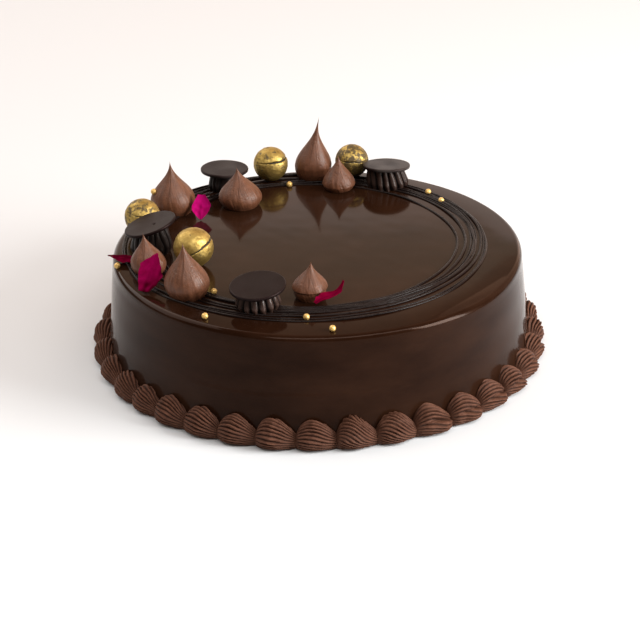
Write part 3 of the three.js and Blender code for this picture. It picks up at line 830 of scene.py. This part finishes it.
def piped_shell(index, material):
    """One shell of the border. Its egg-shaped section, an arc about an axis low on the wall, is carried
    from the round head to the low tail while it swells and falls. Round ridges with narrow grooves fan
    out over it from the tail. On a lobed shell a groove parts off the lower outer side, which swells
    later."""
    node = f"shell_{index + 1:02d}"
    start, middle, end = shell_span(node)
    draw = np.random.default_rng(SHELL_SEED + index)
    size = CLOSING_SHELL["swell"] if index == CLOSING_SHELL["index"] else 1
    size *= 1 + SHELL_UNEVENNESS["share"] * scatter(index, SHELL_UNEVENNESS["scatter"])
    azimuth = math.degrees(middle)
    size *= 1 - SMALL_SHELLS["share"] * hump(azimuth, SMALL_SHELLS["azimuth"], SMALL_SHELLS["width"])
    crown = SHELL_CROWN + draw.uniform(-SHELL_CROWN_STRAY, SHELL_CROWN_STRAY)
    power = draw.uniform(*SHELL_FALL_POWERS)
    even = np.linspace(0, 1, SHELL_STATIONS)
    crowded = (1 - np.cos(math.pi * even)) / 2
    along = lerp(SHELL_FIRST_STATION, 1, lerp(even, crowded, SHELL_CROWDING))[:, None]
    turn = np.radians(np.linspace(*SHELL_ARC, SHELL_CORNERS))
    plain = shell_fullness(along, crown, power)
    fullness, upper = plain + 0 * turn, 1
    if LOBED_SHELLS["first"] <= index <= LOBED_SHELLS["last"]:
        stray, blend = LOBED_SHELLS["stray"], LOBED_SHELLS["blend"]
        parting = math.radians(LOBED_SHELLS["turn"] + draw.uniform(-stray, stray))
        upper = smooth_step(parting - blend, parting + blend, turn)
        fullness = lerp(shell_fullness(along, LOBED_SHELLS["crown"], power), fullness, upper)
        groove = LOBED_SHELLS["groove"] * hump(turn, parting, LOBED_SHELLS["groove_width"])
        fullness = fullness * (1 - groove * smooth_step(*LOBED_SHELLS["groove_start"], along))
    outward = np.sign(np.cos(turn)) * np.abs(np.cos(turn)) ** SHELL_SECTION_POWER
    upward = np.where(turn < 0, np.sin(turn), np.abs(np.sin(turn)) ** SHELL_SECTION_POWER)
    axis_z = SHELL_AXIS_Z * (1 - SHELL_AXIS_SINK * (1 - plain))
    crest, strength = shell_ridges(index, draw, turn, along, upper)
    cut = smooth_step(*SHELL_RIDGES["start"], along) * lerp(1, SHELL_RIDGES["tail"], along)
    swell = fullness * size * (1 + strength * cut * (crest - SHELL_RIDGES["middle"]))
    rise = np.where(turn < 0, axis_z, (SHELL_HEIGHT - SHELL_AXIS_Z) * swell)
    out = SHELL_AXIS_OUT + (SHELL_DEPTH - SHELL_AXIS_OUT) * swell * outward
    z = axis_z + rise * upward
    angle = lerp(start, end, along) + 0 * turn
    rough = np.stack([out, z, angle * FOOT_RADIUS], axis=-1)
    out = out + fullness * (relief("shell_lumps", rough, index) + relief("shell_crumbs", rough, index))
    front = on_circle(wall_radius(z) + np.maximum(-SHELL_BURIED, out), angle, z)
    foot_corner = on_circle(wall_radius(0 * along) - SHELL_BURIED, angle[:, :1], 0 * along)
    rings = np.concatenate([front, foot_corner], axis=1)
    # Painted shade for the icing: the crest value, black in the grooves, and black on the foot corner.
    marks = per_corner(np.concatenate([lerp(SHELL_RIDGES["middle"], crest, cut), 0 * along], axis=1))
    make_piece(f"piped_{node}", [tube(rings)], material, "icing", [node], ridge=marks)


def drop_radius(index, width, share):
    """Radius of a drop at a share of its height: a foot a little narrower than the bulge, then a smooth
    fall to the drawn-out tip, a raised cosine to a power."""
    bulge, taper = DROPS[index]["bulge"], DROPS[index]["taper"]
    foot = lerp(DROP_FOOT, 1, np.sin(np.clip(share / bulge, 0, 1) * math.pi / 2))
    rise = np.clip((share - bulge) / (1 - bulge), 0, 1)
    return width / 2 * foot * (0.5 + 0.5 * np.cos(math.pi * rise)) ** taper


def drop_place(index):
    """Middle of a drop's foot, its width and its height, from the box of its solid."""
    low, high = node_box(f"drop_{index + 1}")
    width = high[1] - low[1]
    return np.array([high[0] - width / 2, (low[1] + high[1]) / 2, low[2]]), width, high[2] - low[2]


def drop_crease(index, angle, share, radius):
    """How far a drop's crease moves its skin out or in: a step out at the crease, which falls back round
    the drop, and a soft hollow along it. It starts over the foot and fades where the drop is thin."""
    sway = DROP_CREASE["sway"] * np.sin(DROP_CREASE["sways"] * share)
    off = half_turn(angle - math.radians(DROPS[index]["crease"]) + sway)
    edge, fade = DROP_CREASE["edge"], DROP_CREASE["fade"]
    step = smooth_step(-edge, edge, off) * np.exp(-np.maximum(off, 0) / fade)
    reach = smooth_step(*DROP_CREASE["from"], share) * np.minimum(1, radius / DROP_CREASE["full_radius"])
    return DROPS[index]["fold"] * reach * (step - DROP_CREASE["hollow"] * hump(off, 0, fade))


def piped_drop(index, material):
    """One piped drop: rings whose radius follows the drop's profile, about an axis that leans by the
    square of the height. Fine streaks drawn up round it, a broad lopsidedness, a crease and small pits
    roughen it, and a skirt draws its foot in under a brim."""
    foot, width, height = drop_place(index)
    lean, brim, skirt = (DROPS[index][key] for key in ("lean", "brim", "skirt"))
    draw = np.random.default_rng(DROP_SEED + index)
    share = np.linspace(0, 1, DROP_ROWS)[:, None]
    share = share + DROP_ROW_CROWDING * np.sin(TURN * share) / TURN
    angle = np.linspace(0, TURN, DROP_COLUMNS, endpoint=False)
    thicker = DROP_TIP["extra"] * smooth_step(*DROP_TIP["from"], share) * (1 - share ** DROP_TIP["power"])
    radius = drop_radius(index, width, share) + thicker
    around = on_circle(1, angle + DROP_STREAKS["swirl"] * share, DROP_STREAKS["stretch"] * share)
    streak = relief("drop_fine_streaks", around, index) + relief("drop_broad_streaks", around, index)
    uneven = DROP_STREAKS["depth"] * streak + relief("drop_lopsidedness", around, index)
    radius = radius + radius / width * uneven
    radius = radius * (1 - skirt * (1 - smooth_step(brim + DROP_BRIM[0], brim + DROP_BRIM[1], share)))
    radius = radius + drop_crease(index, angle, share, radius)
    pit_angles = draw.uniform(0, TURN, DROP_PITS["count"])
    pit_shares = draw.uniform(*DROP_PITS["between"], DROP_PITS["count"])
    for pit_angle, pit_share in zip(pit_angles, pit_shares):
        distance = np.hypot(half_turn(angle - pit_angle) * radius, (share - pit_share) * height)
        radius = radius - DROP_PITS["depth"] * hump(distance, 0, DROP_PITS["radius"])
    rings = on_circle(np.maximum(DROP_TIP["smallest"], radius), angle, share * height)
    rings[..., 0] += lean * share**2
    rings += foot
    marks = per_corner(np.clip(0.5 + DROP_STREAKS["contrast"] * streak, 0, 1))
    node = f"drop_{index + 1}"
    make_piece(f"piped_{node}", [tube(rings)], material, "drop", [node], streak=marks)


def drop_pearl(material):
    """The pearl that sticks to the flank of the first drop."""
    foot, width, height = drop_place(0)
    share = DROP_PEARL["height"] / height
    reach = drop_radius(0, width, share) + PEARL_RADIUS - 2 * PEARL_SINK
    angle = math.radians(DROP_PEARL["angle"])
    x = foot[0] + DROPS[0]["lean"] * share**2 + reach * math.cos(angle)
    y = foot[1] + reach * math.sin(angle)
    part = pearl_tube(x, y, foot[2] + DROP_PEARL["height"], DROP_PEARL["seed"])
    make_piece("drop_pearl", [part], material, "gold", ["drop_1"])


def leafed_ball(index, material):
    """One ball covered in gold leaf: a sphere with crinkles, an irregular seam between its two halves,
    and a flat spot where it rests. The seam is a bell-shaped groove along a tilted plane, widest where it
    gapes."""
    node = f"gold_ball_{index + 1}"
    ball = BALLS[index]
    low, high = node_box(node)
    radius = (high[1] - low[1]) / 2
    centre = np.array([(low[0] + high[0]) / 2, (low[1] + high[1]) / 2, high[2] - radius])
    rings, outward = ball_rings(centre, radius, BALL_ROWS, BALL_COLUMNS)
    right_up, front_up = (math.radians(tilt) for tilt in ball["tilts"])
    axis = np.array([math.sin(right_up), math.sin(front_up), math.cos(right_up) * math.cos(front_up)])
    level = radius * (outward @ axis) - ball["seam"]
    level = level + relief("seam_wander", outward, index) + relief("seam_nicks", outward, index)
    turned = np.arctan2(outward[..., 1], outward[..., 0]) - math.radians(ball["gape"])
    gape = lerp(ball["closed"], ball["open"], (0.5 + 0.5 * np.cos(turned)) ** 2)
    opening = gape * lerp(*SEAM["widths"], smooth_step(*SEAM["gaps"], relief("seam_gaps", outward, index)))
    seam = hump(level, 0, np.maximum(opening, SEAM["shut"][0])) * smooth_step(*SEAM["shut"], opening)
    crinkle = np.abs(relief("leaf_folds", outward, index)) + relief("leaf_wrinkles", outward, index)
    rings = rings + outward * (crinkle - LEAF_INSET - SEAM["depth"] * seam)[..., None]
    rings[..., 2] = np.maximum(rings[..., 2], low[2])
    # The seam mark bares the chocolate and carries the painted shade that blackens the seam.
    bare, wear = per_corner(smooth_step(*SEAM["bare"], seam)), per_corner(ball["wear"] + 0 * seam)
    make_piece(f"leafed_{node}", [tube(rings)], material, "gold", [node], seam=bare, wear=wear)


def disc_plane(index):
    """Middle, upward direction and radius of a disc, from the corners of its solid."""
    corners = node_corners(f"disc_{index + 1}")
    middle = (corners.min(axis=0) + corners.max(axis=0)) / 2
    upward = np.linalg.svd(np.unique(np.round(corners - middle, 3), axis=0))[2][2]
    upward = upward * np.sign(upward[2])
    radius = math.sqrt(np.linalg.norm(corners - middle, axis=1).max() ** 2 - (DISC_THICKNESS / 2) ** 2)
    return middle, upward, radius


def disc_profile(radius):
    """Radii and levels along a disc's profile, as columns: out over its underside, round its edge, and in
    over its top."""
    half, flat = DISC_THICKNESS / 2, radius - DISC_EDGE - DISC_FLAT_MARGIN
    turn = np.linspace(-math.pi / 2, math.pi / 2, DISC_ROWS["edge"])
    edge_radius = radius - DISC_EDGE + DISC_EDGE * np.cos(turn)
    edge_level = np.sign(turn) * (half - DISC_EDGE) + DISC_EDGE * np.sin(turn)
    under = np.linspace(DISC_INNERMOST["under"], flat, DISC_ROWS["under"])
    over = np.linspace(flat, DISC_INNERMOST["over"], DISC_ROWS["over"])
    levels = np.concatenate([0 * under - half, edge_level, 0 * over + half])
    return np.concatenate([under, edge_radius, over])[:, None], levels[:, None]


def chocolate_disc(index, material):
    """One disc: its profile, a little dished on top, turned about an axis and tipped as its solid is. A
    pit is a bell-shaped hollow in the top."""
    middle, upward, radius = disc_plane(index)
    profile_radius, profile_level = disc_profile(radius)
    local = on_circle(profile_radius, np.linspace(0, TURN, DISC_COLUMNS, endpoint=False), profile_level)
    dish = relief("disc_dish", local / radius, index) * (1 - local[..., 0] ** 2 / radius**2)
    pit = 0 * dish
    if index == DISC_PIT["disc"]:
        from_pit = np.linalg.norm(local[..., :2] - np.array(DISC_PIT["place"]), axis=-1)
        pit = hump(from_pit, 0, DISC_PIT["radius"]) * (local[..., 2] > 0)
    local[..., 2] += dish - DISC_SETTLE - DISC_PIT["depth"] * pit
    right = np.cross([0, 1, 0], upward)
    right /= np.linalg.norm(right)
    rings = middle + local @ np.stack([right, np.cross(upward, right), upward])
    # A painted sheen in cloudy patches stands in for reflection, and the pit mark paints shade in the pit.
    sheen_clouds = DISC_PAINTED_SHEEN[index] * smooth_step(*DISC_CLOUDS, relief("disc_clouds", local / radius, index))
    marks = {"pit": per_corner(smooth_step(*DISC_PIT["dark"], pit)), "painted_sheen": per_corner(sheen_clouds)}
    node = f"disc_{index + 1}"
    make_piece(f"chocolate_{node}", [tube(rings)], material, "disc", [node], **marks)


def fluted_rosette(index, material):
    """One rosette: a dome that is tucked in at its foot and narrows to a neck, with round ribs that taper to
    points at the foot and sharp grooves between them. Its height at each place reaches the underside of the
    tipped disc. The spread rosette is wider, stands aside and leans evenly with the height."""
    node = f"rosette_{index + 1}"
    rosette = ROSETTES[index]
    low, high = node_box(node)
    middle, upward, _ = disc_plane(index)
    centre = (low + high) / 2
    radius = (high[1] - low[1]) / 2 / ROSETTE_WIDEST
    lean = 0
    if index == SPREAD_ROSETTE["rosette"]:
        centre[0] -= SPREAD_ROSETTE["aside"]
        radius *= SPREAD_ROSETTE["scale"]
        lean = SPREAD_ROSETTE["lean"]
    level = np.linspace(0, 1, ROSETTE_ROWS)[:, None]
    angle = np.linspace(0, TURN, ROSETTE_COLUMNS, endpoint=False)
    loop = on_circle(1, angle, ROSETTE_RIBS["stretch"] * level)
    bend = ROSETTE_RIBS["bend"] * level + rosette["stray"] * relief("rib_stray", loop, index)
    narrowing = lerp(*ROSETTE_RIBS["points"], smooth_step(0, ROSETTE_RIBS["taper"], level))
    crest = np.abs(np.cos(rosette["ribs"] / 2 * (angle + bend))) ** narrowing
    tuck = lerp(ROSETTE_TUCK["share"], 1, smooth_step(*ROSETTE_TUCK["heights"], level))
    neck = lerp(1, rosette["neck"], level ** rosette["power"])
    rib = 1 + rosette["depth"] * (crest - ROSETTE_RIBS["middle"])
    reach = radius * tuck * neck * rib + relief("rosette_lumps", loop, index)
    x, y = centre[0] + reach * np.cos(angle), centre[1] + reach * np.sin(angle)
    slope = upward[0] * (x - middle[0]) + upward[1] * (y - middle[1])
    underside = middle[2] - (slope + DISC_THICKNESS / 2) / upward[2]
    z = low[2] + level * (underside + ROSETTE_BITE - low[2])
    rings = np.stack([x - lean * level, y, z], axis=-1)
    # Painted highlight on the rib crests, as strong as the rosette's share of it.
    marks = per_corner(rosette["painted_highlight"] * smooth_step(*ROSETTE_RIBS["pale"], crest))
    make_piece(f"fluted_{node}", [tube(rings)], material, "rosette", [node], crest=marks)


def petal_breadth(petal, broadest, along):
    """Breadth of one side of a petal as a share of its largest: a quarter sine from the foot up to the
    broadest place, then a straight fall to the tip."""
    rising = lerp(petal["foot_share"], 1, np.sin(np.clip(along / broadest, 0, 1) * math.pi / 2))
    falling = lerp(1, petal["tip_share"], np.clip((along - broadest) / (1 - broadest), 0, 1))
    return np.where(along < broadest, rising, falling)


def flower_petal(index, material):
    """One petal: a thin lens-shaped section carried along the midrib, with its own breadth on each side. The
    section is lifted by an arch along the midrib and curled by the square of the way across, and its edges
    ripple. Painted shade deepens its colour at the foot, along a fold that fades to the tip, and where its
    shade is set."""
    petal = PETALS[index]
    foot, tip = np.array(petal["foot"]), np.array(petal["tip"])
    along = (tip - foot) / np.linalg.norm(tip - foot)
    across = np.array([-along[1], along[0], 0])
    across /= np.linalg.norm(across)
    outward = np.cross(along, across)
    v = np.linspace(0, 1, PETAL_ROWS)[:, None]
    turn = np.linspace(0, TURN, 2 * PETAL_COLUMNS, endpoint=False)
    u = np.cos(turn) + 0 * v
    breadth = petal_breadth(petal, np.where(u > 0, *petal["broadest"]), v)
    flat = np.stack([u * breadth, 2 * v + 0 * u], axis=-1)
    edge = 1 + relief("petal_edge", np.stack([2 * v + 0 * u, np.sign(u)], axis=-1), index)
    lift = petal["arch"] * np.sin(math.pi * v ** petal["skew"]) + petal["curl"] * breadth * u * u
    lift = lift + u * u * relief("petal_ripple", flat, index) + PETAL_THICKNESS / 2 * np.sin(turn)
    rings = foot + v[..., None] * (tip - foot)
    rings = rings + (u * edge * breadth * petal["width"] / 2)[..., None] * across + lift[..., None] * outward
    rings[..., 2] += TOP_Z
    # Painted shade: the depth mark darkens the petal along a fold, at its foot, in random patches, and to the
    # side, the end and all over as its shade sets.
    sideways, endways, overall = petal["shade"]
    fold = PETAL_FOLD_SHADE["depth"] * hump(u, PETAL_FOLD_SHADE["place"], PETAL_FOLD_SHADE["width"]) * (1 - v)
    fold = fold + relief("petal_shade_patches", flat, index) + overall - sideways * u + endways * (v - 0.5)
    depth = np.clip(fold + PETAL_FOLD_SHADE["foot"] - PETAL_FOLD_SHADE["fading"] * v, 0, 1)
    marks = {"depth": per_corner(depth), "tone": per_corner(petal["tone"] + 0 * u)}
    node = f"petal_{index + 1}"
    make_piece(f"flower_{node}", [tube(rings)], material, "petal", [node], **marks)


# Stage, light and camera


def stage_floor():
    """A plain pale floor just under the cake."""
    mesh = bpy.data.meshes.new("floor")
    reach = FLOOR["reach"]
    corners = [(-reach, -reach, 0), (reach, -reach, 0), (reach, reach, 0), (-reach, reach, 0)]
    mesh.from_pydata(corners, [], [(0, 1, 2, 3)])
    material, _, _ = new_material(
        "pale_floor", Roughness=0.8, Base_Color=FLOOR["colour"], Specular_IOR_Level=0.1
    )
    mesh.materials.append(material)
    floor = bpy.data.objects.new("floor", mesh)
    floor.location.z = -FLOOR["drop"]
    bpy.context.scene.collection.objects.link(floor)


def softbox(name, azimuth, elevation, distance, size, power, colour):
    """A rectangular area light that faces the cake from an azimuth and an elevation, at a distance."""
    turn, rise = math.radians(azimuth), math.radians(elevation)
    back = np.array([math.cos(rise) * math.cos(turn), math.cos(rise) * math.sin(turn), math.sin(rise)])
    light = bpy.data.lights.new(name, "AREA")
    light.shape = "RECTANGLE"
    light.size, light.size_y = size
    light.energy = power
    light.color = colour
    lamp = bpy.data.objects.new(name, light)
    lamp.location = np.array([0, 0, LIGHT_AIM]) + distance * back
    lamp.rotation_euler = Vector(-back).to_track_quat("-Z", "Y").to_euler()
    bpy.context.scene.collection.objects.link(lamp)


def studio_light():
    """A dim warm surround and soft lights: a small key at the right front, a wide one high in front, a
    broad one behind at the left, a low one along the horizon behind, and dim warm panels behind, at the
    side and overhead, for the top of the cake and its rim to mirror."""
    world = bpy.data.worlds.new("studio")
    world.use_nodes = True
    surround = world.node_tree.nodes["Background"]
    surround.inputs["Color"].default_value = SURROUND["colour"]
    surround.inputs["Strength"].default_value = SURROUND["strength"]
    bpy.context.scene.world = world
    for name, settings in LIGHTS.items():
        softbox(name, *settings)


def photo_camera():
    """The camera at the photograph's viewing angle."""
    data = bpy.data.cameras.new("camera")
    data.lens = CAMERA_LENS
    data.sensor_width = CAMERA_SENSOR
    camera = bpy.data.objects.new("camera", data)
    elevation = math.radians(CAMERA_ELEVATION)
    back = np.array([0, -math.cos(elevation), math.sin(elevation)])
    camera.location = (np.array(CAMERA_AIM) + CAMERA_DISTANCE * back) * MM
    tilt = Matrix.Rotation(math.pi / 2 - elevation, 3, "X")
    camera.rotation_euler = (tilt @ Matrix.Rotation(math.radians(CAMERA_ROLL), 3, "Z")).to_euler()
    bpy.context.scene.collection.objects.link(camera)
    bpy.context.scene.camera = camera


def build_cake():
    """Every piece of the cake, in its finish. Balls, discs, rosettes and petals come in equal numbers."""
    glazed_drum(glaze_finish())
    chocolate_threads(thread_finish())
    pearl = pearl_finish()
    sugar_pearls(pearl)
    drop_pearl(pearl)
    icing = icing_finish()
    for index in range(SHELLS):
        piped_shell(index, icing)
    cream = drop_finish()
    for index in range(len(DROPS)):
        piped_drop(index, cream)
    leaf, dark, ganache, velvet = gold_leaf_finish(), disc_finish(), rosette_finish(), petal_finish()
    for index in range(len(BALLS)):
        leafed_ball(index, leaf)
        chocolate_disc(index, dark)
        fluted_rosette(index, ganache)
        flower_petal(index, velvet)


photo_camera()
studio_light()
stage_floor()
build_cake()
bpy.context.scene.view_settings.view_transform = "Standard"
